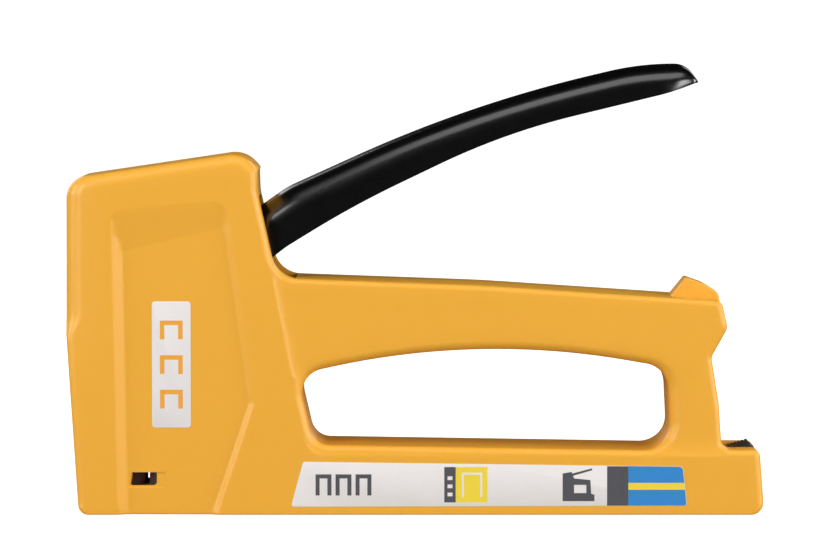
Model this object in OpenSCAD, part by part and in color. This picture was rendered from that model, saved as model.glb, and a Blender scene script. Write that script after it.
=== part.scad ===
// Hand-powered staple gun. The nose points to -X, the base stands on z = 0,
// and the two casing halves meet in the plane y = 0. All sizes are in millimetres.

/* [Casing] */
// Thickness of the nose and the base
body_thick = 28; // [27:0.5:32]
// How far the sides of the handle lie in from the sides of the nose
handle_relief = 0.7; // [0.3:0.1:1]
// Wall of the casing
wall = 2.2; // [2:0.1:2.6]
// Depth of the panel in each side of the nose
panel_depth = 1.2; // [0.6:0.1:1.3]
// Rounding where the sides meet the edges
edge_round = 1.6; // [1:0.1:2]

/* [Lever] */
// Width of the hand lever
lever_wide = 18; // [16:0.5:18.5]
// Sheet that the lever is pressed from
lever_sheet = 1.5; // [1:0.1:1.6]
// Radius of the pin that the lever turns on
pivot_r = 2.5; // [2:0.1:3]

/* [Staples] */
// Width of the staple crown
staple_wide = 10.6; // [10:0.1:10.8]
// Width of the steel magazine
magazine_wide = 13.2; // [12.6:0.1:13.4]

/* [Hidden] */

arc_step = 12;                     // most degrees between the points of a rounded corner
arc_chord = 6;                     // and the most millimetres
half = body_thick / 2;             // side faces of the nose and base
far = 100;                         // runs a cut past everything
round_fn = 48;
small = 0.1;
coil_sides = 6;                    // sides of a spring's wire
coil_rings = 12;                   // and its rings to a turn

// Outlines are seen from the side. Each corner is [x, z, radius], anticlockwise.
body_outline = [
    [-82.55, 0, 2.5], [85.8, 0, 3],           // base
    [84.6, 15.9, 1.6], [75.3, 15.9, 2.5],     // ledge behind the rear column
    [74.5, 27.5, 3], [72.7, 38.6, 2.5],       // back of the rear column
    [76.7, 45.8, 3.2], [75.2, 52.4, 1.8],     // heel of the handle
    [16, 56.3, 300], [-33.9, 58.1, 7],        // top of the handle and the throat
    [-38.5, 79, 6], [-38.7, 84.9, 2.8],       // back of the nose
    [-41.9, 88.8, 6.6], [-85.4, 82.35, 5.6],  // top of the nose
    [-85.55, 46, 60]];                        // front of the nose
lip_outline = [[-41.5, 83.5, 0], [-38.85, 83.7, 0.2], [-38.35, 84.5, 0.3], [-39.4, 85.9, 0.6], [-41.5, 85.9, 0]];
lip_half = 11.3;                   // ridge across the top of the nose's back
hand_hole = [
    [-24.9, 17.1, 5], [62.9, 15.7, 6.5], [61.9, 36.1, 6.5], [15.5, 44.1, 188], [-28.9, 34.3, 6]];
stop_outline = [
    [61.5, 49, 0], [75.9, 48, 0], [75.0, 53.4, 1.2], [71.3, 56.2, 8], [66.8, 57.8, 0.6], [62.4, 52.4, 0]];
panel_outline = [[-73, -5, 0], [-49.9, -5, 0], [-39.1, 27.4, 2.5], [-46, 77.4, 5], [-74.6, 74.8, 4]];
panel_floor = [[-70.1, -5, 0], [-51.6, -5, 0], [-40.8, 27.4, 2], [-46.6, 70.6, 4], [-71.3, 64.4, 0.6]];
panel_step = 0.8;                  // the slope between them is one step, this far in from the edge
relief_outline = [[-26.4, 14.7, 5], [95, 14.3, 0], [95, 75, 0], [-38.4, 75, 0]];
label_outline = [[-30.4, 2.0, 0.6], [66.7, 2.3, 0.6], [65.7, 11.9, 1.2], [-27.4, 13.1, 0.6]];
label_thick = 0.15;
patch_low = [-64.4, 21.4];         // emblem patch, low and high corners
patch_high = [-54.9, 52.4];
stop_wide = 11;                    // the lever's channel passes either side of the stop

// Lever
pivot = [-46, 66];
arm_drop = 32;                     // the lifting arm points this far below level at rest
arm_reach = 30.5;
arm_over = 1.5;                    // the arm's upper edge lies this far under the pivot line
arm_deep = 5.5;
lever_half = lever_wide / 2;
crown_half = 6;                    // flat of the lever's back, before it is rounded off
crown_drop = 1.5;
channel_start = -43;               // in front of this only the two cheeks go on
running = 0.05;                    // radial clearance of a running fit

// Striker group. The blade runs down the front of the nose.
blade_x = [-79.6, -78.6];
blade_top = 60;
blade_low = 0.5;
plate_x = [-80.8, -79.7];           // front plate
plate_half = 6.4;
plate_top = 44;
striker_x = [blade_x[1], -64.4];
striker_z = [46, 58];
striker_half = 6.6;
lift_pin = [-70, 52.5];
lift_pin_r = 2;
spring_at = -71.5;                 // x of the main spring's axis
spring_r = 5.2;
spring_wire = 0.9;                 // radius of the wire
spring_turns = 6;
spring_top = 79.2;
spring_gap = 0.05;
seat_thick = 1.2;
seat_spigot = 4;
bumper_x = [-77, -65];
bumper_high = 2.9;
shelf_z = [40, 43];

// Magazine
magazine_x = [-78.3, 72];
magazine_z = [0.6, 12.4];
magazine_sheet = 0.8;
rail_half = 4.4;
rail_z = [0.8, 9.8];
rod_z = 4.3;
rod_r = 1.2;
rod_front = -77.3;
rod_in = 6;                        // the rod goes this far into the end block
feed_spring_r = 1.9;
feed_wire = 0.4;
feed_turns = 24;
pusher_x = [-76.2, -67.6];
notch_x = [-66.5, -65.4];          // witness notch through the magazine
notch_z = [7.1, 10.3];
rivets = [[50, 6], [62, 6]];
rivet_r = 1;

// Rear end
end_x = [73, 85.2];
end_half = 6.0;
end_z = [1.6, 11.0];
latch_outline = [[76.5, 12.4, 0.4], [84, 12.4, 0.4], [84.1, 15.6, 0.5], [82.5, 17, 0.5], [76.8, 15.4, 0.3]];
latch_half = 5.4;
latch_ribs = 5;
latch_spring_at = 79.8;

// Openings and ribs of the casing
window_x = [-69.7, -63.3];         // the staples are seen through these
left_window_z = [7.1, 10.4];
right_window_z = [5.4, 10.4];
scoop_x = [-70.2, -61.1];          // shallow recess round each window
scoop_z = [6.4, 10.8];
scoop_depth = 0.3;
slot_x = [-44, -29.2];             // where the lever comes out
slot_z = [52, 78];
rib_at = [-58, -20, 20, 60];
rib_top = 13.4;
shelf_x = [-77.5, -60];
handle_from = -26;                 // behind this the cavity is as much narrower as the handle

screws = [[-50, 80], [-48, 30], [67.5, 45.5], [68.6, 22]];
screw_r = 1.4;
screw_head_r = 2.8;
screw_head_y = 9.8;
boss_r = 3.4;

orange_paint = [0.95, 0.62, 0.12];

// ---- outlines -----------------------------------------------------------

function turned(v, a) = [v.x * cos(a) - v.y * sin(a), v.x * sin(a) + v.y * cos(a)];

// One corner b of an outline, moved inwards by d and rounded
function corner(a, b, c, d) =
    let (u = [b.x - a.x, b.y - a.y] / norm([b.x - a.x, b.y - a.y]),
         v = [c.x - b.x, c.y - b.y] / norm([c.x - b.x, c.y - b.y]),
         turn = atan2(u.x * v.y - u.y * v.x, u * v),
         at = [b.x, b.y] + d * [-u.y - v.y, u.x + v.x] / (1 + u * v),
         r = max(0, turn > 0 ? b[2] - d : b[2] + d),
         start = at - r * tan(abs(turn) / 2) * u,
         centre = start + r * sign(turn) * [-u.y, u.x],
         steps = max(1, ceil(abs(turn) / arc_step), ceil(r * abs(turn) * PI / 180 / arc_chord)))
    r == 0 ? [at] : [for (k = [0:steps]) centre + turned(start - centre, turn * k / steps)];

// A rounded outline, moved inwards by d
function outline(corners, d = 0) =
    let (n = len(corners))
    [for (i = [0:n - 1]) each corner(corners[(i + n - 1) % n], corners[i], corners[(i + 1) % n], d)];

// A side outline, given its thickness from y0 to y1
module slab(points, y0, y1) {
    translate([0, y1, 0])
        rotate([90, 0, 0])
            linear_extrude(y1 - y0)
                polygon(points);
}

module cross_bar(at, r, y0, y1) {
    translate([at.x, y0, at.y])
        rotate([-90, 0, 0])
            cylinder(h = y1 - y0, r = r, $fn = round_fn);
}

module block(x, y, z) {
    translate([x[0], y[0], z[0]])
        cube([x[1] - x[0], y[1] - y[0], z[1] - z[0]]);
}

// ---- coil springs -------------------------------------------------------

function coil_points(r, wire, high, turns) =
    [for (k = [0:turns * coil_rings])
        let (t = 360 * k / coil_rings, z = wire + (high - 2 * wire) * k / (turns * coil_rings))
        for (s = [0:coil_sides - 1])
            let (a = 360 * s / coil_sides)
            [(r + wire * cos(a)) * cos(t), (r + wire * cos(a)) * sin(t), z + wire * sin(a)]];

module coil(r, wire, high, turns) {
    last = turns * coil_rings * coil_sides;
    sides = [for (k = [0:turns * coil_rings - 1])
        for (s = [0:coil_sides - 1])
            let (a = k * coil_sides + s, b = k * coil_sides + (s + 1) % coil_sides)
            each [[a, a + coil_sides, b], [b, a + coil_sides, b + coil_sides]]];
    first_cap = [for (s = [0:coil_sides - 1]) s];
    last_cap = [for (s = [coil_sides - 1:-1:0]) last + s];
    polyhedron(coil_points(r, wire, high, turns), concat(sides, [first_cap, last_cap]));
}

// ---- casing -------------------------------------------------------------

// Half of the solid body, y from 0 to half, with its side edges stepped round
module half_body() {
    middle = half - edge_round * (1 - sin(45));
    slab(outline(body_outline), 0, middle);
    slab(outline(body_outline, edge_round * (1 - cos(45))), 0, half);
    slab(outline(stop_outline), 0, stop_wide / 2);
    slab(outline(lip_outline), 0, lip_half);
}

module half_cavity() {
    difference() {
        slab(outline(body_outline, wall), -small, half - wall);
        slab(outline(hand_hole, -wall), -1, half);
        block([handle_from, far], [half - wall - handle_relief, half], [relief_outline[0][1], far]);
    }
}

module half_cuts() {
    slab(outline(hand_hole), -1, half + 1);
    slab(outline(hand_hole, -edge_round * (1 - cos(45))), half - handle_relief - 0.5, half + 1);
    slab(outline(relief_outline), half - handle_relief, half + 1);
    slab(outline(panel_outline, panel_step), half - panel_depth / 2, half + 1);
    slab(outline(panel_floor), half - panel_depth, half + 1);
    block(scoop_x, [half - panel_depth - scoop_depth, half + 1], scoop_z);
    lever_slot();
    magazine_slot();
    rear_mouth();
}

// The lever comes out of the nose through the throat
module lever_slot() {
    block(slot_x, [-1, lever_half + 0.6], slot_z);
}

// The base is open below the magazine, with a seat for the front plate
module magazine_slot() {
    block([plate_x[0] - small, end_x[0] - small], [-1, magazine_wide / 2 + 0.4], [-1, wall + 1]);
    block([plate_x[0] - small, plate_x[1] + small], [-1, plate_half + small], [-1, plate_top + small]);
}

// The rod's end block and the latch fill the back of the base
module rear_mouth() {
    block([end_x[0] - 1, far], [-1, end_half + 0.3], [end_z[0] - 0.3, end_z[1] + 0.3]);
    block([latch_outline[0][0] - 0.7, far], [-1, latch_half + 0.4], [end_z[1], 20]);
}

// Ribs that hold the magazine, and the shelf under the striker's bumper
module half_ribs() {
    for (x = rib_at)
        block([x - 1, x + 1], [magazine_wide / 2 + 0.05, half - wall + small], [wall - small, rib_top]);
    block(shelf_x, [0.05, half - panel_depth - small], shelf_z);
}

module half_bosses() {
    for (s = screws)
        cross_bar(s, boss_r, 0, half - wall + small);
    cross_bar(pivot, pivot_r + 2.5, lever_half + 0.4, half - wall + small);
}

// Both halves start from this one; side is 1 for the right half and -1 for the left
module casing_half(side) {
    mirror([0, side > 0 ? 0 : 1, 0])
        difference() {
            union() {
                difference() {
                    half_body();
                    half_cavity();
                    half_cuts();
                }
                half_ribs();
                half_bosses();
            }
            cross_bar(pivot, pivot_r + 0.02, -1, half - wall - 0.1);
            block(window_x, [-1, half + 1], side > 0 ? right_window_z : left_window_z);
            if (side > 0)
                screw_holes_right();
            else
                screw_holes_left();
        }
}

module screw_holes_right() {
    for (s = screws) {
        cross_bar(s, screw_r + 0.3, -1, far);
        cross_bar(s, screw_head_r + 0.3, screw_head_y, far);
    }
}

module screw_holes_left() {
    for (s = screws)
        cross_bar(s, screw_r + running, -1, 11);
    slab(outline(label_outline, -0.05), half - label_thick, half + 1);
}

module left_casing() {
    color(orange_paint)
        casing_half(-1);
}

module right_casing() {
    color(orange_paint)
        casing_half(1);
}

module casing_screws() {
    color("silver")
        for (s = screws)
            difference() {
                union() {
                    cross_bar(s, screw_r, -10.5, screw_head_y + 0.1);
                    cross_bar(s, screw_head_r, screw_head_y, screw_head_y + 1.9);
                }
                for (a = [0, 90])
                    translate([s.x, screw_head_y + 1.6, s.y])
                        rotate([0, a, 0])
                            cube([3.2, 2, 0.7], center = true);
            }
}

// ---- lever --------------------------------------------------------------

// A point of the lifting arm: along it from the pivot, and above its line
function arm_point(along, above) =
    pivot + [-along * cos(arm_drop) - above * sin(arm_drop), -along * sin(arm_drop) + above * cos(arm_drop)];

// Side outline of the lever, its back lowered by drop
function lever_outline(drop) = let (
    low = arm_point(arm_reach, -arm_over - arm_deep),
    high = arm_point(arm_reach, -arm_over)) [
    [low.x, low.y, 1.5], [-42.3, 59.2, 10],
    [-14.9, 75.8, 240], [22.0, 93.5, 170], [62.7, 103.4, 60], [69.6, 105.9, 0.6],
    [66.6, 110.4 - drop, 5 - drop], [54.5, 110.4 - drop, 70],
    [13.7, 100.3 - drop, 320], [-31.5, 80.0 - drop, 25],
    [-45.5, 73.0 - drop, 4], [-53.2, 71.0 - drop, 4], [-52.6, 60.2, 2],
    [high.x, high.y, 1.5]];

// The space under the lever's back, and between its cheeks in front of the pivot
function lever_hollow(drop) = [
    [-90, 30, 0], [40, 30, 0], [67.8, 98, 0], [67.8, 105.2 - drop, 0.5],
    [65.6, 110.4 - drop, 3], [54.4, 110.4 - drop, 68],
    [13.8, 100.3 - drop, 320], [-31.5, 80.0 - drop, 25],
    [channel_start, 72.6 - drop, 0], [channel_start, 95, 0], [-90, 95, 0]];

module lever() {
    inner_half = lever_half - lever_sheet;
    color([0.06, 0.06, 0.065])
        difference() {
            union() {
                slab(outline(lever_outline(0)), -crown_half, crown_half);
                slab(outline(lever_outline(crown_drop)), -lever_half, lever_half);
            }
            slab(outline(lever_hollow(lever_sheet)), -crown_half + 0.5, crown_half - 0.5);
            slab(outline(lever_hollow(lever_sheet + crown_drop)), -inner_half, inner_half);
            cross_bar(pivot, pivot_r + running, -far, far);
        }
}

module lever_pivot_pin() {
    color("silver")
        cross_bar(pivot, pivot_r, 0.3 - half + wall, half - wall - 0.3);
}

// ---- striker group ------------------------------------------------------

module striker() {
    color("dimgray")
        difference() {
            block(striker_x, [-striker_half, striker_half], striker_z);
            cross_bar(lift_pin, lift_pin_r + 0.02, -far, far);
        }
}

module striker_pin() {
    color("silver")
        cross_bar(lift_pin, lift_pin_r, -lever_half, lever_half);
}

module driver_blade() {
    blade_half = staple_wide / 2 - 0.1;
    color("slategray")
        block(blade_x, [-blade_half, blade_half], [blade_low, blade_top]);
}

module main_spring() {
    foot = striker_z[1] + spring_gap;
    color("gray")
        translate([spring_at, 0, foot])
            coil(spring_r, spring_wire, spring_top - foot - spring_gap, spring_turns);
}

module spring_seat() {
    color([0.15, 0.15, 0.15]) {
        translate([spring_at, 0, spring_top])
            cylinder(h = seat_thick, r = spring_r + 1.4, $fn = round_fn);
        translate([spring_at, 0, spring_top - seat_spigot])
            cylinder(h = seat_spigot + small, r = spring_r - spring_wire - 0.4, $fn = round_fn);
    }
}

module striker_bumper() {
    color([0.1, 0.1, 0.1])
        block(bumper_x, [-striker_half, striker_half], [shelf_z[1], shelf_z[1] + bumper_high]);
}

module front_plate() {
    color("silver")
        block(plate_x, [-plate_half, plate_half], [blade_low, plate_top]);
}

// ---- magazine -----------------------------------------------------------

module witness_notch() {
    block(notch_x, [-far, far], notch_z);
}

module magazine_channel() {
    outer = magazine_wide / 2;
    color("darkgray")
        difference() {
            block(magazine_x, [-outer, outer], magazine_z);
            block([-far, far], [magazine_sheet - outer, outer - magazine_sheet],
                  [-far, magazine_z[1] - magazine_sheet]);
            witness_notch();
            rivet_holes();
        }
}

module staple_rail() {
    color("gray")
        difference() {
            block(magazine_x, [-rail_half, rail_half], rail_z);
            block([-far, far], [magazine_sheet - rail_half, rail_half - magazine_sheet],
                  [rail_z[0] + magazine_sheet, far]);
            witness_notch();
            rivet_holes();
        }
}

module rivet_holes() {
    for (r = rivets)
        cross_bar(r, rivet_r + 0.02, -far, far);
}

// Each rivet crosses one wall of the rail and one of the channel, with a collar between
module magazine_rivets() {
    color("silver")
        for (r = rivets)
            for (side = [0, 1])
                mirror([0, side, 0]) {
                    cross_bar(r, rivet_r, rail_half - magazine_sheet, magazine_wide / 2);
                    cross_bar(r, rivet_r + 0.6, rail_half + 0.02, magazine_wide / 2 - magazine_sheet - 0.02);
                }
}

module pusher() {
    inside = rail_half - magazine_sheet - 0.3;
    color("darkgray")
        difference() {
            union() {
                block(pusher_x, [-inside, inside], [rail_z[0] + magazine_sheet + 0.3, rail_z[1] + 1]);
                block(pusher_x, [0.4 - staple_wide / 2, staple_wide / 2 - 0.4],
                      [rail_z[1] + 0.3, rail_z[1] + 1.2]);
            }
            translate([-far, 0, rod_z])
                rotate([0, 90, 0])
                    cylinder(h = 2 * far, r = rod_r + running, $fn = round_fn);
        }
}

module pusher_spring() {
    start = pusher_x[1] + spring_gap;
    long = end_x[0] - spring_gap - start;
    color("silver")
        translate([start, 0, rod_z])
            rotate([0, 90, 0])
                coil(feed_spring_r, feed_wire, long, feed_turns);
}

module guide_rod() {
    color("silver")
        translate([rod_front, 0, rod_z])
            rotate([0, 90, 0])
                cylinder(h = end_x[0] + rod_in - rod_front, r = rod_r, $fn = round_fn);
}

module rod_stop() {
    color("gray")
        translate([rod_front + 0.1, 0, rod_z])
            rotate([0, 90, 0])
                difference() {
                    cylinder(h = 0.8, r = rod_r + 1, $fn = round_fn);
                    translate([0, 0, -1])
                        cylinder(h = 3, r = rod_r + 0.01, $fn = round_fn);
                }
}

// ---- rear end -----------------------------------------------------------

module end_block() {
    color([0.08, 0.08, 0.08])
        difference() {
            block(end_x, [-end_half, end_half], end_z);
            translate([end_x[0] - 1, 0, rod_z])
                rotate([0, 90, 0])
                    cylinder(h = rod_in + 1 + small, r = rod_r + 0.02, $fn = round_fn);
        }
}

module latch_button() {
    top_front = latch_outline[4];
    top_rear = latch_outline[3];
    color([0.08, 0.08, 0.08])
        difference() {
            slab(outline(latch_outline), -latch_half, latch_half);
            for (k = [1:latch_ribs])
                let (f = k / (latch_ribs + 1))
                translate([top_front.x + f * (top_rear.x - top_front.x), 0,
                           top_front.y + f * (top_rear.y - top_front.y)])
                    rotate([0, 35, 0])
                        cube([0.35, far, 0.9], center = true);
        }
}

module latch_spring() {
    color("silver")
        translate([latch_spring_at, 0, end_z[1] + spring_gap])
            coil(1.6, 0.18, 1.3, 3);
}

// ---- labels -------------------------------------------------------------

module side_label() {
    color([0.93, 0.9, 0.88])
        slab(outline(label_outline), -half, label_thick - half);
}

module emblem_patch() {
    floor_y = panel_depth - half;
    color([0.93, 0.9, 0.88])
        block([patch_low.x, patch_high.x], [floor_y - label_thick, floor_y], [patch_low.y, patch_high.y]);
}

left_casing();
right_casing();
casing_screws();
lever();
lever_pivot_pin();
striker();
striker_pin();
driver_blade();
main_spring();
spring_seat();
striker_bumper();
front_plate();
magazine_channel();
staple_rail();
magazine_rivets();
pusher();
pusher_spring();
guide_rod();
rod_stop();
end_block();
latch_button();
latch_spring();
side_label();
emblem_patch();
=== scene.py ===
"""Looks of the staple gun. Shapes are worked out in millimetres and made in metres."""
import math

import bpy
import bmesh
import numpy as np
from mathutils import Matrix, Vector
from mathutils.geometry import delaunay_2d_cdt


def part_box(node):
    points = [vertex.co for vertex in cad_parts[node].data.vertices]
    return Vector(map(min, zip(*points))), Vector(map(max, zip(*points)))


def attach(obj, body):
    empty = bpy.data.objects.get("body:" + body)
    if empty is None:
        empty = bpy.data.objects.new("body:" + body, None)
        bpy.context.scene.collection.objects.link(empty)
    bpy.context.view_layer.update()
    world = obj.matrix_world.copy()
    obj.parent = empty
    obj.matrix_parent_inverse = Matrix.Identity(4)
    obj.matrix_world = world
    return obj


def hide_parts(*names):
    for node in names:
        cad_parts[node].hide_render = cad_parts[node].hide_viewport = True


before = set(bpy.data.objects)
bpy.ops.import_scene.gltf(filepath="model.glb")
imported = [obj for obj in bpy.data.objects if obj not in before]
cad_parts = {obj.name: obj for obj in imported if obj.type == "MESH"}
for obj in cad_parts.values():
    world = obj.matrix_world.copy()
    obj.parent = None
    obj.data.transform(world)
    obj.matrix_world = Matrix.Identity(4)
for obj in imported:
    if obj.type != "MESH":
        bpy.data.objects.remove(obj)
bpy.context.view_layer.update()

MM = 0.001


def box_mm(node):
    """Lowest and highest corner of a CAD node, in millimetres."""
    low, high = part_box(node)
    return [v / MM for v in low], [v / MM for v in high]


# ---- measures -----------------------------------------------------------

CASING_LOW, CASING_HIGH = box_mm("left_casing")
LEVER_LOW, LEVER_HIGH = box_mm("lever")
HALF = -CASING_LOW[1]              # side faces of the nose and base
RELIEF = 0.7                       # the handle's sides lie this much further in
RELIEF_RUN = 3.6                   # width of the hollow slope between them
WALL = 2.2
PANEL_DEEP = (1.2, 0.66)           # depth of the panel's floor at its front and at its back
PANEL_X = (-71, -42)

# Outlines seen from the side, anticlockwise. A corner is x, z, its radius, and the
# rounding of the edge that leaves it.
BODY = [
    (-82.55, 0, 2.5, 0.35), (85.8, 0, 3, 1.7),
    (84.6, 15.9, 1.7, 1.6), (75.3, 15.9, 2.5, 1.4), (74.5, 27.5, 3, 1.5), (72.7, 38.6, 2.5, 1.6),
    (76.7, 45.8, 3.2, 1.6), (75.2, 52.4, 1.8, 1.5),
    (16, 56.3, 300, 1.5), (-33.9, 58.1, 7, 1.8),
    (-38.5, 79, 6, 2.0), (-38.7, 84.9, 3.0, 2.8), (-41.9, 88.8, 7, 3.0),
    (-85.4, 82.35, 5.6, 4.4), (-85.55, 46, 60, 1.8)]
HAND_HOLE = [
    (-24.9, 17.1, 5, 1.7), (62.9, 15.7, 6.5, 3.2), (61.9, 36.1, 6.5, 2.3),
    (15.5, 44.1, 188, 2.2), (-28.9, 34.3, 6, 1.9)]
PANEL_EDGE = [(-73, -5, 0), (-49.9, -5, 0), (-39.1, 27.4, 2.5), (-46, 77.4, 5), (-74.6, 74.8, 4)]
PANEL_FLOOR = [(-70.1, -5, 0), (-51.6, -5, 0), (-40.8, 27.4, 2), (-46.6, 70.6, 4), (-71.3, 64.4, 0.6)]
CREASE = 0.35                      # half the width of the panel's rounded creases
PANEL_SOFT = 1.6                   # the wall reaches full depth this far in, where corners are round
NOSE_THIN = 0.6                    # how much the nose thins towards its upper front edge
NOSE_THIN_X = (-76.0, 9)           # where the thinning starts, and over what length it grows
NOSE_THIN_Z = (30, 24)
BEYOND_REAR = 95                   # past the rear end of the tool
RELIEF_EDGE = [(-26.4, 14.7, 5), (BEYOND_REAR, 14.3, 0), (BEYOND_REAR, 75, 0), (-38.4, 75, 0)]
LIP = [(-41.5, 83.5, 0, 0), (-38.85, 83.7, 0.2, 0.2), (-38.35, 84.5, 0.3, 0.3), (-39.4, 85.9, 0.6, 0.3),
       (-41.5, 85.9, 0, 0)]
LIP_HALF = 11.3
STOP = [
    (61.5, 49, 0, 0), (74.0, 47, 0, 0.4), (75.5, 50.4, 0.8, 0.4), (74.75, 54.0, 1.1, 0.4),
    (71.3, 56.2, 8, 0.4), (66.8, 57.8, 0.6, 0.4), (62.4, 52.4, 0.8, 0.4)]
STOP_HALF = 5.5


# ---- outlines -----------------------------------------------------------

def unit(v):
    return v / np.hypot(*v)


def left_of(v):
    return np.array([-v[1], v[0]])


def trace(corners, chord=2.0, step=6.0):
    """Points, inward normals and edge roundings along a rounded outline."""
    points, normals, rounds = [], [], []
    count = len(corners)
    arcs = []
    for i in range(count):
        a, b, c = (np.array(corners[(i + k) % count][:2], float) for k in (-1, 0, 1))
        radius = corners[i][2]
        rho = [(corners[j][3] if len(corners[j]) > 3 else 0) for j in (i - 1, i)]
        u, v = unit(b - a), unit(c - b)
        turn = math.atan2(u[0] * v[1] - u[1] * v[0], u @ v)
        start = b - radius * math.tan(abs(turn) / 2) * u
        side = math.copysign(1, turn)
        centre = start + radius * side * left_of(u)
        parts = max(1, math.ceil(math.degrees(abs(turn)) / step), math.ceil(radius * abs(turn) / chord))
        arc = []
        for k in range(parts + 1):
            angle = turn * k / parts
            spin = np.array([[math.cos(angle), -math.sin(angle)], [math.sin(angle), math.cos(angle)]])
            share = k / parts
            arc.append((centre + spin @ (start - centre), spin @ left_of(u),
                        rho[0] * (1 - share) + rho[1] * share))
        if radius == 0:
            arc = [(b, unit(left_of(u) + left_of(v)), max(rho))]
        arcs.append(arc)
    for i, arc in enumerate(arcs):
        for p, n, r in arc:
            points.append(p)
            normals.append(n)
            rounds.append(r)
        p, n, r = arc[-1]
        q, m, s = arcs[(i + 1) % count][0]
        parts = math.ceil(np.hypot(*(q - p)) / chord)
        for k in range(1, parts):
            share = k / parts
            points.append(p + (q - p) * share)
            normals.append(unit(left_of(q - p)))
            rounds.append(r + (s - r) * share)
    return np.array(points), np.array(normals), np.array(rounds)


def inside(points, loop):
    """True for each point that lies inside the closed loop."""
    x, z = points[:, 0][:, None], points[:, 1][:, None]
    ax, az = loop[:, 0], loop[:, 1]
    bx, bz = np.roll(ax, -1), np.roll(az, -1)
    spans = (az > z) != (bz > z)
    rise = np.where(bz == az, 1e-9, bz - az)
    crossing = ax + (z - az) * (bx - ax) / rise
    return (np.sum(spans & (x < crossing), axis=1) % 2) == 1


def distance(points, loop):
    """Distance from each point to the closed loop."""
    a, b = loop, np.roll(loop, -1, axis=0)
    along = b - a
    rel = points[:, None, :] - a[None, :, :]
    t = np.clip(np.sum(rel * along, axis=2) / np.maximum(np.sum(along * along, axis=1), 1e-12), 0, 1)
    gap = rel - t[:, :, None] * along[None, :, :]
    return np.sqrt(np.min(np.sum(gap * gap, axis=2), axis=1))


def smooth(t):
    t = np.clip(t, 0, 1)
    return t * t * (3 - 2 * t)


# ---- mesh helpers -------------------------------------------------------

def new_object(name, bm, materials, sharp=30, weld=0.002):
    """A smooth-shaded object from a bmesh in millimetres."""
    if weld:
        bmesh.ops.remove_doubles(bm, verts=bm.verts, dist=weld)
    bmesh.ops.recalc_face_normals(bm, faces=bm.faces)
    bmesh.ops.scale(bm, vec=(MM, MM, MM), verts=bm.verts)
    mesh = bpy.data.meshes.new(name)
    bm.to_mesh(mesh)
    bm.free()
    obj = bpy.data.objects.new(name, mesh)
    bpy.context.scene.collection.objects.link(obj)
    for material in materials:
        mesh.materials.append(material)
    shade(obj, sharp)
    return obj


def shade(obj, sharp):
    mesh = obj.data
    mesh.shade_smooth()
    mesh.set_sharp_from_angle(angle=math.radians(sharp))


def loop_verts(bm, points, y):
    """Adds one vertex per point; y is a number or one number per point."""
    ys = np.broadcast_to(y, len(points))
    return [bm.verts.new((p[0], yy, p[1])) for p, yy in zip(points, ys)]


def bridge(bm, a, b):
    turn = [(i, (i + 1) % len(a)) for i in range(len(a))]
    return [bm.faces.new((a[i], a[j], b[j], b[i])) for i, j in turn]


def prism(bm, points, y0, y1):
    """A closed extrusion of an outline."""
    low = loop_verts(bm, points, y0)
    high = loop_verts(bm, points, y1)
    return bridge(bm, low, high) + [bm.faces.new(low), bm.faces.new(high[::-1])]


def block(bm, x, y, z):
    prism(bm, np.array([(x[0], z[0]), (x[1], z[0]), (x[1], z[1]), (x[0], z[1])]), y[0], y[1])


def drum(bm, at, radius, y0, y1, sides=48):
    angles = np.linspace(0, 2 * math.pi, sides, endpoint=False)
    prism(bm, np.stack([at[0] + radius * np.cos(angles), at[1] + radius * np.sin(angles)], axis=1), y0, y1)


def rounded_plate(bm, corners, y_back, y_front, steps=4):
    """An extruded outline whose front edges are rounded as its corners say."""
    points, normals, rounds = trace(corners, chord=1.2, step=8)
    toward = math.copysign(1, y_front - y_back)
    back = loop_verts(bm, points, y_back)
    last = back
    for k in range(steps + 1):
        angle = math.pi / 2 * k / steps
        ring = points + normals * (rounds * (1 - math.cos(angle)))[:, None]
        now = loop_verts(bm, ring, y_front - toward * rounds * (1 - math.sin(angle)))
        bridge(bm, last, now)
        last = now
    bm.faces.new(last)
    bm.faces.new(back[::-1])


def combine(obj, bm, operation, use_self):
    """Applies an exact boolean of a bmesh in millimetres to an object."""
    other = new_object(obj.name + "_other", bm, list(obj.data.materials))
    boolean = obj.modifiers.new("combine", "BOOLEAN")
    boolean.operation = operation
    boolean.solver = "EXACT"
    boolean.use_self = use_self
    boolean.object = other
    bpy.context.view_layer.update()
    depsgraph = bpy.context.evaluated_depsgraph_get()
    done = bpy.data.meshes.new_from_object(obj.evaluated_get(depsgraph))
    obj.modifiers.remove(boolean)
    obj.data = done
    bpy.data.objects.remove(other)


def subtract(obj, bm):
    """Cuts a bmesh whose parts may overlap each other out of an object."""
    combine(obj, bm, "DIFFERENCE", use_self=True)


def join(obj, bm):
    """Merges a bmesh with an object as one solid."""
    combine(obj, bm, "UNION", use_self=False)


# ---- casing -------------------------------------------------------------

PANEL_EDGE_LOOP, PANEL_EDGE_IN, _ = trace(PANEL_EDGE)
PANEL_FLOOR_LOOP, PANEL_FLOOR_IN, _ = trace(PANEL_FLOOR)
RELIEF_LOOP, RELIEF_IN, _ = trace(RELIEF_EDGE)


def wall_share(points, k):
    """How far down the panel's k-th wall each point lies, and how wide that wall is there."""
    gaps = []
    for corners in (PANEL_EDGE, PANEL_FLOOR):
        a = np.array(corners[k][:2])
        b = np.array(corners[(k + 1) % len(corners)][:2])
        gaps.append((points - a) @ left_of(unit(b - a)))
    width = np.maximum(gaps[0] - gaps[1], 0.5)
    return gaps[0] / width, width


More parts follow.
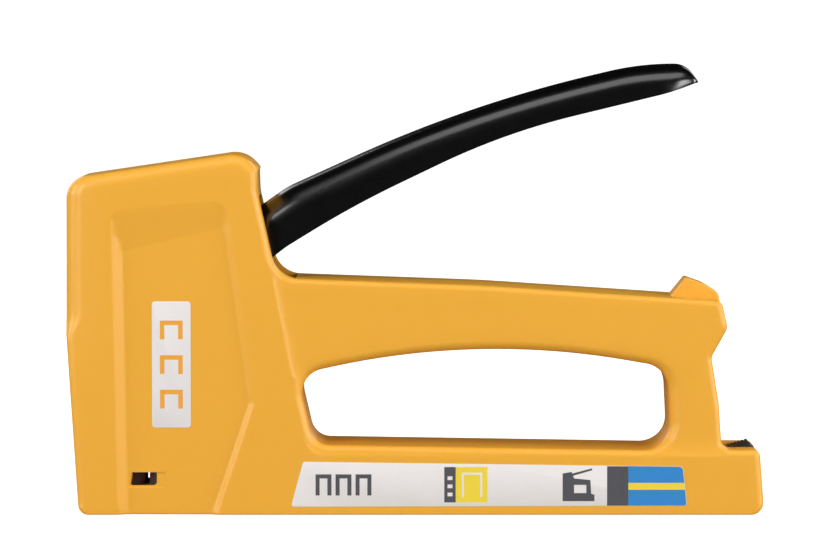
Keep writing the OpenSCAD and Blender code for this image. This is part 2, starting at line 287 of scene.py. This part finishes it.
def panel_depth(points):
    """Depth of the panel: flat walls between the edge and the floor, with small round creases."""
    share, width = wall_share(points, 1)
    for k in (2, 3, 4):
        other, other_width = wall_share(points, k)
        width = np.where(other < share, other_width, width)
        share = np.minimum(share, other)
    rounded = np.where(inside(points, PANEL_EDGE_LOOP), distance(points, PANEL_EDGE_LOOP), 0)
    share = np.clip(np.minimum(share, rounded / PANEL_SOFT), 0, 1)
    soft = np.clip(CREASE / width, 0.02, 0.3)
    rise = 1 / (1 - soft)
    ramp = np.where(share < soft, rise * share ** 2 / (2 * soft), rise * (share - soft / 2))
    ramp = np.where(share > 1 - soft, 1 - rise * (1 - share) ** 2 / (2 * soft), ramp)
    return floor_depth(points[:, 0]) * ramp


def floor_depth(x):
    return np.interp(x, PANEL_X, PANEL_DEEP)


def side_height(points):
    """How far the side surface lies from the middle plane, at points seen from the side."""
    # The handle and rear column lie further in than the nose and base
    gap = np.where(inside(points, RELIEF_LOOP), distance(points, RELIEF_LOOP), 0)
    high = HALF - RELIEF * (1 - (1 - np.clip(gap / RELIEF_RUN, 0, 1)) ** 2)
    high -= panel_depth(points)
    # The nose thins a little towards its upper front edge
    forward = smooth((NOSE_THIN_X[0] - points[:, 0]) / NOSE_THIN_X[1])
    upward = smooth((points[:, 1] - NOSE_THIN_Z[0]) / NOSE_THIN_Z[1])
    return high - NOSE_THIN * forward * upward


def side_lines():
    """Lines that the side surface's triangles follow, so that its creases stay sharp."""
    lines = [PANEL_EDGE_LOOP + PANEL_EDGE_IN * d for d in (-0.4, 0, CREASE)]
    lines += [PANEL_FLOOR_LOOP + PANEL_FLOOR_IN * d for d in (-CREASE, 0, 0.4)]
    lines += [RELIEF_LOOP + RELIEF_IN * d for d in (-0.35, 0, 0.4, 1.2)]
    corner, floor = np.array(PANEL_EDGE[4][:2]), np.array(PANEL_FLOOR[4][:2])
    lines.append(np.array([corner + (floor - corner) * t for t in (0.3, 0.45, 0.6, 0.75, 0.9)]))
    return lines


def grid(x, z, pitch):
    xs = np.arange(x[0], x[1], pitch)
    rows = []
    for k, zz in enumerate(np.arange(z[0], z[1], pitch * 0.87)):
        rows.append(np.stack([xs + pitch / 2 * (k % 2), np.full(len(xs), zz)], axis=1))
    return np.concatenate(rows)


def fill_side(bm, rim, hole):
    """Triangles between the rim loop and the hand hole's loop, at the side's height."""
    def keep(points, margin):
        ok = inside(points, rim) & ~inside(points, hole)
        return ok & (distance(points, rim) > margin) & (distance(points, hole) > margin)

    points = [rim, hole]
    edges = [[(i, (i + 1) % len(rim)) for i in range(len(rim))],
             [(len(rim) + i, len(rim) + (i + 1) % len(hole)) for i in range(len(hole))]]
    count = len(rim) + len(hole)
    lines = np.zeros((0, 2))
    for line in side_lines():
        ok = keep(line, 0.3)
        next_ok = np.roll(ok, -1)
        is_open = np.hypot(*(line[0] - line[-1])) > 5 and len(line) < 8
        if is_open:
            next_ok[-1] = False
        steps = range(len(line))
        edges.append([(count + i, count + (i + 1) % len(line)) for i in steps if ok[i] and next_ok[i]])
        points.append(line)
        lines = np.concatenate([lines, line[ok]])
        count += len(line)
    used = sorted({i for part in edges for e in part for i in e})
    fine = grid((-80, -36), (-1, 84), 1.1)
    coarse = grid((-84, 84), (1, 88), 2.4)
    coarse = coarse[~((coarse[:, 0] > -81) & (coarse[:, 0] < -37))]
    spread = np.concatenate([fine, coarse])
    spread = spread[keep(spread, 0.6)]
    apart = spread[:, None, :] - lines[None, :, :]
    near = np.min(np.hypot(apart[:, :, 0], apart[:, :, 1]), axis=1)
    spread = spread[near > 0.5]
    flat = np.concatenate(points)
    number = {old: new for new, old in enumerate(used)}
    all_points = np.concatenate([flat[used], spread])
    all_edges = [(number[a], number[b]) for part in edges for a, b in part]
    out, _, faces, _, _, _ = delaunay_2d_cdt([Vector(p) for p in all_points], all_edges, [], 0, 1e-5, False)
    flat = np.array([tuple(p) for p in out])
    centres = np.array([flat[list(f)].mean(axis=0) for f in faces])
    wanted = inside(centres, rim) & ~inside(centres, hole)
    high = side_height(flat)
    verts = [bm.verts.new((p[0], h, p[1])) for p, h in zip(flat, high)]
    for face, ok in zip(faces, wanted):
        if ok:
            bm.faces.new([verts[i] for i in face])


def half_shell(bm):
    """One closed half of the body, for y from 0 to HALF, with its edges rounded."""
    steps = 7
    seam = 0.14
    rims = []
    for corners, inward in ((BODY, 1), (HAND_HOLE, -1)):
        points, normals, rounds = trace(corners, chord=1.6, step=5)
        normals = normals * inward
        top = points + normals * rounds[:, None]
        high = side_height(top)
        last = loop_verts(bm, points + normals * seam, 0)
        middle = last
        now = loop_verts(bm, points, seam)
        bridge(bm, last, now)
        last = now
        for k in range(steps + 1):
            angle = math.pi / 2 * k / steps
            ring = points + normals * (rounds * (1 - math.cos(angle)))[:, None]
            now = loop_verts(bm, ring, high - rounds * (1 - math.sin(angle)))
            bridge(bm, last, now)
            last = now
        rims.append((top, middle))
    fill_side(bm, rims[0][0], rims[1][0])
    flat_edges = [e for _, middle in rims for e in zip(middle, middle[1:] + middle[:1])]
    edges = [bm.edges.get(pair) for pair in flat_edges]
    bmesh.ops.triangle_fill(bm, edges=edges, use_beauty=True)


NOSE_ROOM = [(-80.4, 5, 1), (-41.5, 5, 1), (-41.5, 30, 5), (-46.5, 60, 1), (-46.5, 85.2, 3),
             (-82.5, 80.2, 3), (-82.8, 56, 30)]
THROAT = [(-48, 54, 0), (-30.7, 54, 1.2), (-29.2, 56.4, 0.5), (-29.2, 78.0, 1), (-48, 78.0, 0)]
WINDOW_LEFT = [(-69.8, 7.1, 0.5), (-63.3, 7.2, 0.8), (-63.3, 10.4, 0.3), (-69.2, 10.4, 0.3)]
WINDOW_RIGHT = [(-69.8, 5.4, 0.5), (-63.3, 5.4, 0.8), (-63.3, 10.4, 0.3), (-69.2, 10.4, 0.3)]
SCOOP_RIM = [(-70.4, 6.45), (-61.0, 6.6), (-61.0, 10.4), (-69.5, 10.4)]
SCOOP_FOOT = [(-69.8, 7.1), (-69.2, 10.4)]
SCOOP_DEPTH = 0.75
SCREWS = [(-50, 80), (-48, 30), (67.5, 45.5), (68.6, 22)]
SCREW_HOLE = 3.1                   # radius of the recess over a screw's head
SCREW_SEAT = 9.8                   # how far the bottom of that recess lies from the middle plane


def scoop(bm, floor_y):
    """A wedge that is deepest in front of the window and runs out behind it."""
    rim = [(x, floor_y + lift, z) for x, z in SCOOP_RIM for lift in (0.0, 0.5)]
    foot = [(x, floor_y - SCOOP_DEPTH, z) for x, z in SCOOP_FOOT]
    verts = [bm.verts.new(v) for v in rim + foot]
    bmesh.ops.convex_hull(bm, input=verts)


def half_cutter(side):
    """What is cut out of a half: room for the mechanism, and the openings that show."""
    bm = bmesh.new()
    lever_half = LEVER_HIGH[1]
    prism(bm, trace(NOSE_ROOM)[0], -1, HALF - WALL)
    prism(bm, trace(THROAT)[0], -1.1, lever_half + 0.6)
    prism(bm, trace(WINDOW_RIGHT if side > 0 else WINDOW_LEFT)[0], -1.2, HALF + 1)
    low, high = box_mm("magazine_channel")
    block(bm, (-80.9, high[0] + 0.9), (-1.3, high[1] + 0.4), (-1, high[2] + 0.6))
    low, high = box_mm("end_block")
    block(bm, (low[0] - 0.6, BEYOND_REAR), (-1.4, high[1] + 0.25), (low[2] - 0.25, high[2] + 0.25))
    low, high = box_mm("latch_button")
    block(bm, (low[0] - 0.7, BEYOND_REAR), (-1.5, high[1] + 0.35), (low[2] - 2, 25))
    if side > 0:
        for at in SCREWS:
            drum(bm, at, SCREW_HOLE, SCREW_SEAT, 20)
    bmesh.ops.scale(bm, vec=(1, side, 1), verts=bm.verts)
    return bm


def casing_half(name, side, material):
    bm = bmesh.new()
    half_shell(bm)
    bmesh.ops.scale(bm, vec=(1, side, 1), verts=bm.verts)
    obj = new_object(name, bm, [material])
    hollow = bmesh.new()
    scoop(hollow, HALF - floor_depth(np.mean(SCOOP_RIM, axis=0)[0]))
    bmesh.ops.scale(hollow, vec=(1, side, 1), verts=hollow.verts)
    subtract(obj, hollow)
    subtract(obj, half_cutter(side))
    for corners, reach in ((STOP, STOP_HALF), (LIP, LIP_HALF)):
        extra = bmesh.new()
        rounded_plate(extra, corners, 0, side * reach)
        join(obj, extra)
    shade(obj, 32)
    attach(obj, "casing")
    return obj


# ---- lever --------------------------------------------------------------

LEVER_BACK = [(-50, 67.0, 0), (-31.5, 80.0, 25), (13.7, 100.5, 320), (55.8, 110.4, 68), (66.9, 110.4, 5.5),
              (69.7, 106.2, 0)]
LEVER_EDGE = [(-44, 56.0, 0), (-31.5, 65.6, 20), (-14.9, 75.8, 240), (22.0, 93.5, 170),
              (62.7, 103.4, 60), (69.5, 105.9, 0)]
CHEEK = [
    (-68.2, 43.9, 1.5, 0.3), (-42.3, 59.2, 10, 0.3), (-36.0, 63.0, 0, 0.3), (-41.0, 72.0, 0.5, 0.3),
    (-45.5, 72.6, 3, 0.3), (-52.8, 70.8, 4, 0.3), (-52.4, 60.4, 2, 0.3), (-71.0, 48.5, 1.5, 0.3)]
LEVER_SHEET = 1.5
LEVER_BEND = 6.0                   # radius between the crown and the sides
CROWN_RISE = 0.16                  # how far the crown arches up in the middle
TIP_X = LEVER_BACK[-1][0]
TIP_TAPER = 9.0                    # length over which the tip narrows
TIP_NARROW = 0.66                  # share of the full width at the very tip


def open_trace(corners):
    """A rounded line from the first corner to the last."""
    closed = trace(corners, chord=0.8, step=5)[0]
    first = int(np.argmin(np.hypot(*(closed - np.array(corners[0][:2])).T)))
    closed = np.roll(closed, -first, axis=0)
    last = int(np.argmin(np.hypot(*(closed - np.array(corners[-1][:2])).T)))
    return closed[:last + 1]


def along(line, shares):
    """Points at shares of the line's length."""
    steps = np.hypot(*np.diff(line, axis=0).T)
    reach = np.concatenate([[0], np.cumsum(steps)])
    reach /= reach[-1]
    return np.stack([np.interp(shares, reach, line[:, k]) for k in (0, 1)], axis=1)


def lever_section(width, deep, inset):
    """Half of the channel's section, from the lower edge up to the crown: (y, height) pairs."""
    half = width / 2 - inset
    top = deep - inset
    bend = min(LEVER_BEND - inset, half * 0.95, max(top * 0.85, 0.3))
    points = [(half, 0.0), (half, (top - bend) * 0.5)]
    for k in range(9):
        angle = math.pi / 2 * k / 8
        points.append((half - bend * (1 - math.cos(angle)), top - bend * (1 - math.sin(angle))))
    points.append((half * 0.3, top + 0.12))
    points.append((0, top + CROWN_RISE))
    return points


def build_lever(material):
    stations = 150
    shares = np.linspace(0, 1, stations) ** 0.9
    back = along(open_trace(LEVER_BACK), shares)
    edge = along(open_trace(LEVER_EDGE), shares)
    wide = LEVER_HIGH[1] * 2
    bm = bmesh.new()
    outer, inner = [], []
    for k in range(stations):
        rise = back[k] - edge[k]
        deep = max(np.hypot(*rise), 0.3)
        up = rise / deep
        to_tip = (TIP_X - back[k][0]) / TIP_TAPER
        taper = math.sqrt(max(0, 1 - max(0, 1 - to_tip) ** 2))
        width = wide * (TIP_NARROW + (1 - TIP_NARROW) * taper)
        sheet = min(LEVER_SHEET, deep * 0.45)
        for inset, rows in ((0.0, outer), (sheet, inner)):
            half = lever_section(width, deep - CROWN_RISE, inset)
            full = half + [(-y, h) for y, h in half[-2::-1]]
            x, z = edge[k]
            rows.append([bm.verts.new((x + up[0] * h, y, z + up[1] * h)) for y, h in full])
    count = len(outer[0])
    for rows in (outer, inner):
        for a, b in zip(rows, rows[1:]):
            for i in range(count - 1):
                bm.faces.new((a[i], a[i + 1], b[i + 1], b[i]))
    for a, b, c, d in zip(outer, outer[1:], inner, inner[1:]):
        bm.faces.new((a[0], b[0], d[0], c[0]))
        bm.faces.new((a[-1], c[-1], d[-1], b[-1]))
    for row_out, row_in in ((outer[0], inner[0]), (outer[-1], inner[-1])):
        for i in range(count - 1):
            bm.faces.new((row_out[i], row_in[i], row_in[i + 1], row_out[i + 1]))
    for side in (-1, 1):
        rounded_plate(bm, CHEEK, side * (wide / 2 - LEVER_SHEET), side * (wide / 2 - 0.02))
    return new_object("hand_lever", bm, [material], sharp=50)


# ---- labels -------------------------------------------------------------

LABEL = [
    (-30.4, 2.0, 0.6, 0.03), (66.7, 2.3, 0.6, 0.03), (65.7, 11.9, 1.2, 0.03), (-27.4, 13.1, 0.6, 0.03)]
PATCH = [
    (-64.4, 21.4, 0.8, 0.03), (-54.9, 21.4, 0.8, 0.03), (-54.9, 52.4, 0.8, 0.03), (-64.4, 52.4, 0.8, 0.03)]
FILM = 0.06                        # how far the films stand proud
INK = 0.012                        # and the print on them
GUN_BODY = [
    (36.2, 3.4), (44.0, 3.4), (44.0, 5.0), (43.2, 5.2), (43.0, 8.6), (39.0, 9.0), (38.4, 10.6),
    (36.2, 10.2)]
GUN_LEVER = [(38.6, 9.6), (43.4, 11.0), (43.4, 11.5), (38.6, 10.2)]
BLUE_FIELD = [(52.3, 2.3, 0), (66.62, 2.34, 0.6), (65.64, 11.86, 1.15), (52.3, 12.03, 0)]
YELLOW_BAR = [(52.3, 6.2), (66.2, 6.2), (66.02, 7.9), (52.3, 7.9)]


def printed(bm, shape, y, slot):
    """A thin printed shape whose face lies at y, looking to the -Y side."""
    for face in prism(bm, shape, y, y + 2.5 * INK):
        face.material_index = slot


def bar(x, z):
    return np.array([(x[0], z[0]), (x[1], z[0]), (x[1], z[1]), (x[0], z[1])])


def staple_shape(x, z, size, line):
    """The outline of an open staple with its legs down, centred at x, z."""
    w, h = size[0] / 2, size[1] / 2
    return np.array([(x - w, z - h), (x - w + line, z - h), (x - w + line, z + h - line),
                     (x + w - line, z + h - line), (x + w - line, z - h), (x + w, z - h),
                     (x + w, z + h), (x - w, z + h)])


def build_label(materials):
    """Film 0, grey ink 1, yellow ink 2, blue ink 3."""
    bm = bmesh.new()
    face_y = -HALF - FILM
    rounded_plate(bm, LABEL, -HALF + 0.08, face_y, steps=2)
    ink = face_y - INK
    for k in range(3):
        printed(bm, staple_shape(-22.4 + 4.9 * k, 7.4, (3.9, 5.2), 1.0), ink, 1)
    printed(bm, bar((7.2, 10.0), (3.1, 11.8)), ink, 1)
    printed(bm, bar((10.0, 17.8), (3.1, 11.8)), ink, 2)
    printed(bm, staple_shape(14.0, 7.4, (5.0, 6.0), 0.5), ink - INK, 0)
    for k in range(3):
        printed(bm, bar((8.0, 9.2), (4.6 + 2.0 * k, 5.5 + 2.0 * k)), ink - INK, 0)
    printed(bm, np.array(GUN_BODY), ink, 1)
    printed(bm, bar((39.0, 42.0), (5.4, 7.4)), ink - INK, 0)
    printed(bm, np.array(GUN_LEVER), ink, 1)
    printed(bm, bar((47.1, 52.3), (2.3, 12.0)), ink, 1)
    printed(bm, trace(BLUE_FIELD)[0], ink, 3)
    printed(bm, np.array(YELLOW_BAR), ink - INK, 2)
    label = new_object("printed_label", bm, materials, weld=0)
    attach(label, "casing")
    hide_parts("side_label")


def build_patch(materials):
    """Film 0, orange ink 1."""
    bm = bmesh.new()
    rounded_plate(bm, PATCH, 0.08, -FILM, steps=2)
    for k in range(3):
        printed(bm, staple_shape(-59.65, 28.4 + 8.5 * k, (5.6, 4.6), 1.1), -FILM - INK, 1)
    for v in bm.verts:
        v.co.y -= HALF - floor_depth(v.co.x)
    patch = new_object("nose_emblem", bm, materials, weld=0)
    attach(patch, "casing")
    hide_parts("emblem_patch")


# ---- latch --------------------------------------------------------------

RIB = [(-0.42, -0.5), (0.42, -0.4), (0.62, 0.3), (0.4, 0.55), (-0.05, 0.42)]
RIBS = 6


def build_latch(material):
    """Thumb latch with slanting grip ribs across its back."""
    bm = bmesh.new()
    low, high = box_mm("latch_button")
    half = high[1]
    shape = [(low[0], low[2], 0.4, 0.4), (high[0] - 0.1, low[2], 0.4, 0.4), (high[0], 15.5, 0.5, 0.4),
             (82.6, 16.7, 0.5, 0.4), (low[0] + 0.2, 15.1, 0.3, 0.4)]
    rounded_plate(bm, shape, 0, half)
    rounded_plate(bm, shape, 0, -half)
    for k in range(RIBS):
        share = (k + 0.5) / RIBS
        x = low[0] + 0.8 + share * 5.2
        z = 15.15 + share * 1.45
        prism(bm, np.array([(x + dx, z + dz) for dx, dz in RIB]), -half + 0.4, half - 0.4)
    latch = new_object("thumb_latch", bm, [material], sharp=35)
    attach(latch, "latch")
    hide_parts("latch_button")


# ---- materials ----------------------------------------------------------

class Nodes:
    """Short ways to build a node material around one Principled shader."""

    def __init__(self, name, **sockets):
        self.material = bpy.data.materials.new(name)
        self.material.use_nodes = True
        self.tree = self.material.node_tree
        self.shader = self.tree.nodes["Principled BSDF"]
        for socket, value in sockets.items():
            self.shader.inputs[socket.replace("_", " ")].default_value = value

    def add(self, kind, **values):
        node = self.tree.nodes.new(kind)
        for key, value in values.items():
            if key in node.inputs:
                node.inputs[key].default_value = value
            else:
                setattr(node, key, value)
        return node

    def link(self, source, target):
        self.tree.links.new(source, target)

    def coords(self):
        return self.add("ShaderNodeTexCoord").outputs["Object"]

    def noise(self, scale, detail=3.0, rough=0.5):
        node = self.add("ShaderNodeTexNoise", Scale=scale, Detail=detail, Roughness=rough)
        self.link(self.coords(), node.inputs["Vector"])
        return node.outputs["Fac"]

    def remap(self, value, low, high):
        node = self.add("ShaderNodeMapRange")
        self.link(value, node.inputs["Value"])
        node.inputs["To Min"].default_value = low
        node.inputs["To Max"].default_value = high
        return node.outputs["Result"]

    def tint(self, value, dark, light):
        node = self.add("ShaderNodeMix", data_type="RGBA")
        self.link(value, node.inputs[0])
        node.inputs[6].default_value = (*dark, 1)
        node.inputs[7].default_value = (*light, 1)
        self.link(node.outputs[2], self.shader.inputs["Base Color"])

    def bump(self, heights, distance):
        normal = None
        for height, share in heights:
            node = self.add("ShaderNodeBump", Strength=share, Distance=distance)
            self.link(height, node.inputs["Height"])
            if normal:
                self.link(normal, node.inputs["Normal"])
            normal = node.outputs["Normal"]
        self.link(normal, self.shader.inputs["Normal"])


def casing_plastic():
    """Moulded orange plastic with a fine spark-eroded grain."""
    m = Nodes("casing_plastic", IOR=1.47, Subsurface_Weight=0.15, Subsurface_Scale=0.0015,
              Subsurface_Radius=(1.0, 0.3, 0.08))
    m.tint(m.noise(38, 4), (0.80, 0.392, 0.036), (0.82, 0.403, 0.039))
    m.link(m.remap(m.noise(900, 2), 0.27, 0.38), m.shader.inputs["Roughness"])
    m.bump([(m.noise(3800, 2, 0.6), 0.5), (m.noise(1500, 2), 0.3)], 0.00003)
    return m.material


def lever_paint():
    """Gloss black powder coat on pressed steel, with slight orange peel."""
    m = Nodes("lever_paint", IOR=1.6, Coat_Weight=0.8, Coat_Roughness=0.22)
    m.tint(m.noise(60, 3), (0.0005, 0.0005, 0.0007), (0.0012, 0.0012, 0.0015))
    m.link(m.remap(m.noise(300, 3), 0.2, 0.27), m.shader.inputs["Roughness"])
    m.bump([(m.noise(700, 2), 0.35), (m.noise(2500, 1), 0.15)], 0.00004)
    return m.material


def metal(name, dark, light, rough, grain):
    """Metal with fine drawn lines along x and blotchy oxide."""
    m = Nodes(name, Metallic=1.0)
    m.tint(m.noise(160, 5, 0.65), dark, light)
    stretch = m.add("ShaderNodeMapping")
    stretch.inputs["Scale"].default_value = (0.06, 1, 1)
    m.link(m.coords(), stretch.inputs["Vector"])
    lines = m.add("ShaderNodeTexNoise", Scale=grain, Detail=2.0)
    m.link(stretch.outputs["Vector"], lines.inputs["Vector"])
    m.link(m.remap(lines.outputs["Fac"], rough - 0.08, rough + 0.14), m.shader.inputs["Roughness"])
    m.bump([(lines.outputs["Fac"], 0.4)], 0.00003)
    return m.material


def black_plastic(name="black_plastic", low=0.35, high=0.55):
    m = Nodes(name)
    m.tint(m.noise(90, 3), (0.008, 0.008, 0.008), (0.016, 0.015, 0.015))
    m.link(m.remap(m.noise(1200, 2), low, high), m.shader.inputs["Roughness"])
    m.bump([(m.noise(4000, 2), 0.5)], 0.00003)
    return m.material


def printed_film(name, dark, light):
    """Printed polyester film: even colour, faint mottle and a satin face."""
    m = Nodes(name)
    m.tint(m.noise(400, 4), dark, light)
    m.link(m.remap(m.noise(700, 2), 0.34, 0.46), m.shader.inputs["Roughness"])
    m.bump([(m.noise(2600, 2), 0.2)], 0.00002)
    return m.material


ORANGE = casing_plastic()
PAINT = lever_paint()
BLACK = black_plastic()
RUBBER = black_plastic("black_rubber", 0.7, 0.85)
ZINC = metal("zinc_steel", (0.5, 0.5, 0.49), (0.66, 0.66, 0.65), 0.3, 9000)
TOOL_STEEL = metal("tool_steel", (0.16, 0.155, 0.15), (0.25, 0.245, 0.24), 0.36, 7000)
WIRE = metal("spring_wire", (0.33, 0.33, 0.33), (0.48, 0.48, 0.47), 0.3, 6000)
# The sheet steel's darker warm brown tint is painted shade from inside the casing and a painted reflection
# of the orange casing.
SHEET = metal("magazine_steel", (0.3, 0.22, 0.19), (0.45, 0.34, 0.3), 0.42, 8000)
WHITE_FILM = printed_film("white_film", (0.735, 0.70, 0.685), (0.765, 0.735, 0.72))
GREY_INK = printed_film("grey_ink", (0.075, 0.075, 0.085), (0.09, 0.09, 0.1))
YELLOW_INK = printed_film("yellow_ink", (0.80, 0.60, 0.04), (0.84, 0.64, 0.05))
BLUE_INK = printed_film("blue_ink", (0.025, 0.22, 0.55), (0.03, 0.24, 0.6))
ORANGE_INK = printed_film("orange_ink", (0.8, 0.34, 0.03), (0.84, 0.37, 0.035))

NODE_MATERIALS = {
    "casing_screws": ZINC, "lever_pivot_pin": ZINC, "striker_pin": ZINC, "guide_rod": ZINC,
    "magazine_rivets": ZINC, "striker": TOOL_STEEL, "driver_blade": TOOL_STEEL, "rod_stop": TOOL_STEEL,
    "main_spring": WIRE, "pusher_spring": WIRE, "latch_spring": WIRE, "front_plate": SHEET,
    "magazine_channel": SHEET, "staple_rail": SHEET, "pusher": SHEET, "spring_seat": BLACK,
    "end_block": BLACK, "striker_bumper": RUBBER}


def finish_cad_nodes():
    for name, material in NODE_MATERIALS.items():
        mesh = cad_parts[name].data
        mesh.materials.clear()
        mesh.materials.append(material)


# ---- stage --------------------------------------------------------------

PAPER_WHITE = (0.3, 0.3, 0.3)
PAPER_DIM = (0.008, 0.008, 0.008)
SKY = (0.38, 0.006)                # strength of the surroundings: for diffuse light and for reflections


def area_light(name, at, aim, size, power):
    light = bpy.data.lights.new(name, "AREA")
    light.shape = "RECTANGLE"
    light.size, light.size_y = size
    light.energy = power
    obj = bpy.data.objects.new(name, light)
    bpy.context.scene.collection.objects.link(obj)
    obj.location = at
    obj.rotation_euler = (Vector(aim) - Vector(at)).to_track_quat("-Z", "Y").to_euler()


def paper(name, glow):
    """White studio paper: it glows to the camera and is nearly black in glossy reflections."""
    m = Nodes(name, Roughness=0.9)
    rays = m.add("ShaderNodeLightPath")
    m.tint(rays.outputs["Is Glossy Ray"], PAPER_WHITE, PAPER_DIM)
    m.shader.inputs["Emission Color"].default_value = (1, 1, 1, 1)
    m.link(m.remap(rays.outputs["Is Camera Ray"], 0, glow), m.shader.inputs["Emission Strength"])
    return m.material


def build_stage():
    """A paper sweep that curves up far behind, a soft sky and seven area lights."""
    near, bend, reach, high = -4.0, 3.0, 1.5, 5.0
    wide = 8.0
    path = [(near, 0)]
    for k in range(25):
        angle = math.pi / 2 * k / 24
        path.append((bend + reach * math.sin(angle), reach * (1 - math.cos(angle))))
    path.append((bend + reach, high))
    bm = bmesh.new()
    rows = [[bm.verts.new((x / MM, y / MM, z / MM - 0.05)) for x in (-wide, wide)] for y, z in path]
    for a, b in zip(rows, rows[1:]):
        bm.faces.new((a[0], a[1], b[1], b[0]))
    floor = new_object("floor", bm, [paper("studio_paper", 1.0)])
    world = bpy.data.worlds.new("studio")
    bpy.context.scene.world = world
    world.use_nodes = True
    world.node_tree.nodes["Background"].inputs["Color"].default_value = (1, 1, 1, 1)
    rays = world.node_tree.nodes.new("ShaderNodeLightPath")
    strength = world.node_tree.nodes.new("ShaderNodeMapRange")
    strength.inputs["To Min"].default_value, strength.inputs["To Max"].default_value = SKY
    sky = world.node_tree.nodes["Background"]
    world.node_tree.links.new(rays.outputs["Is Glossy Ray"], strength.inputs["Value"])
    world.node_tree.links.new(strength.outputs["Result"], sky.inputs["Strength"])
    area_light("overhead", (0.05, -0.56, 1.13), (0, 0, 0.06), (1.1, 0.65), 3.9)
    area_light("front_right", (0.76, -0.97, 0.2), (0, 0, 0.05), (0.35, 0.8), 5.9)
    area_light("front_left", (-0.76, -0.97, 0.4), (0, 0, 0.05), (0.35, 0.8), 5.9)
    area_light("side_right", (1.0, -0.2, 0.25), (0, 0, 0.05), (0.3, 0.7), 6.5)
    area_light("back_right", (0.75, 1.05, 0.5), (0, 0, 0.05), (0.8, 0.8), 3.0)
    area_light("back_left", (-0.75, 1.05, 0.5), (0, 0, 0.05), (0.8, 0.8), 3.0)
    area_light("side_left", (-1.0, -0.2, 0.4), (0, 0, 0.05), (0.3, 0.7), 4.0)


def build_camera():
    """Nearly level, from the label's side, far enough to flatten the perspective."""
    low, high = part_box("left_casing")
    away = 1.09
    tilt = math.radians(3.4)
    target = Vector((-0.0012, low[1], 0.0577))
    camera = bpy.data.objects.new("camera", bpy.data.cameras.new("camera"))
    bpy.context.scene.collection.objects.link(camera)
    camera.location = target + away * Vector((0, -math.cos(tilt), math.sin(tilt)))
    camera.rotation_euler = (math.radians(90) - tilt, 0, 0)
    frame_wide = 0.2004
    camera.data.sensor_width = 36
    camera.data.lens = 36 * away / frame_wide
    camera.data.clip_end = 50
    bpy.context.scene.camera = camera


def main():
    for name, side in (("shell_left", -1), ("shell_right", 1)):
        shell = casing_half(name, side, ORANGE)
        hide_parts("left_casing" if side < 0 else "right_casing")
    lever = build_lever(PAINT)
    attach(lever, "lever")
    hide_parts("lever")
    build_label([WHITE_FILM, GREY_INK, YELLOW_INK, BLUE_INK])
    build_patch([WHITE_FILM, ORANGE_INK])
    build_latch(BLACK)
    finish_cad_nodes()
    build_stage()
    build_camera()
    bpy.context.scene.view_settings.view_transform = "Standard"


main()
